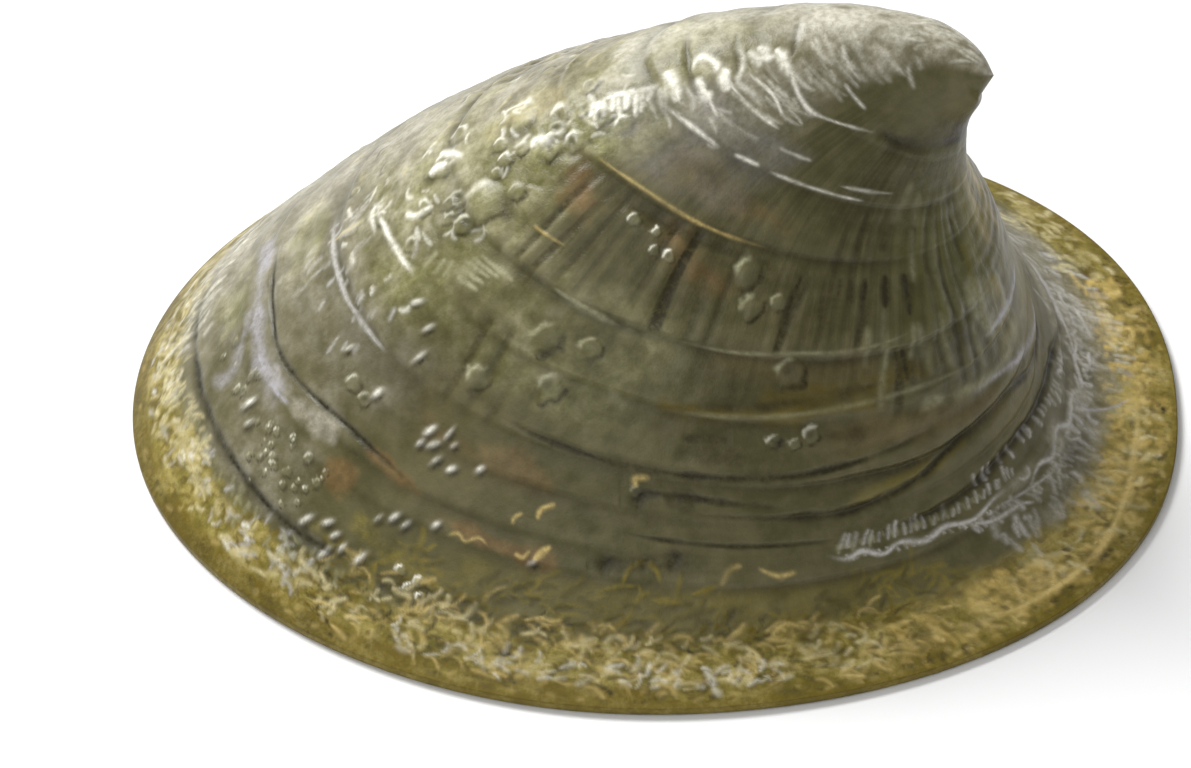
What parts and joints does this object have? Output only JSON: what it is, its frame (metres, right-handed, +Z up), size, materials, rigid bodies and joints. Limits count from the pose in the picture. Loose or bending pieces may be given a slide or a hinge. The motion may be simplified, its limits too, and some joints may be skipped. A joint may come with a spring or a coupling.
{
  "type": "limpet shell",
  "caption": "Hollow cap-shaped river limpet shell with a hooked apex, growth ledges, small lumps and a flared rim that it rests on.",
  "frame": {"origin": "on the ground, under the middle of the rim", "axes": "+X the way the apex hooks, toward the back of the shell; +Y toward the flank that the apex leans to; +Z up"},
  "size_m": [0.008, 0.0064, 0.0037],
  "materials": {
    "shell": "glossy olive-grey shell with pale worn crest, rust patches and a golden encrusted rim"
  },
  "bodies": {
    "root": {"shell": "shell"}
  },
  "joints": []
}
